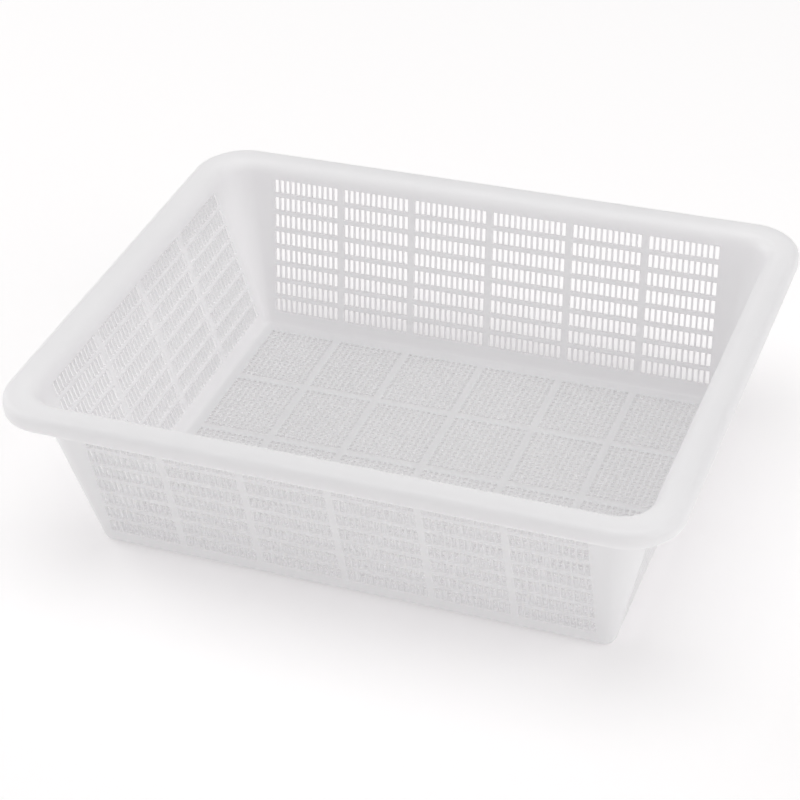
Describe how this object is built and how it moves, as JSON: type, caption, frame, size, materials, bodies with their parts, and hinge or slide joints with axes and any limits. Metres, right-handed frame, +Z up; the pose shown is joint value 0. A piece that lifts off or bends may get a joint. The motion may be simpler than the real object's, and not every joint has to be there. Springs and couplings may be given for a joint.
{
  "type": "cheese mold",
  "caption": "Shallow rectangular perforated basket mold for draining curd, with outward-leaning slotted walls, a fine mesh floor and a wide turned-down rim.",
  "frame": {"origin": "centre of the face it rests on, at the bottom of the floor", "axes": "+X along the long side, +Y from the front long wall to the back one, +Z up out of the open mouth"},
  "size_m": [0.43, 0.338, 0.1225],
  "materials": {
    "floor_plastic": "milky translucent polypropylene, fine satin",
    "wall_plastic": "milky translucent polypropylene, satin",
    "rim_plastic": "milky translucent polypropylene, satin with a soft sheen"
  },
  "bodies": {
    "root": {"floor_lower_bars": "floor_plastic", "floor_upper_bars": "floor_plastic", "wall_front": "wall_plastic", "wall_back": "wall_plastic", "wall_left": "wall_plastic", "wall_right": "wall_plastic", "corner_post_front_left": "wall_plastic", "corner_post_front_right": "wall_plastic", "corner_post_back_left": "wall_plastic", "corner_post_back_right": "wall_plastic", "rim_front": "rim_plastic", "rim_back": "rim_plastic", "rim_left": "rim_plastic", "rim_right": "rim_plastic", "rim_corner_front_left": "rim_plastic", "rim_corner_front_right": "rim_plastic", "rim_corner_back_left": "rim_plastic", "rim_corner_back_right": "rim_plastic"}
  },
  "joints": []
}
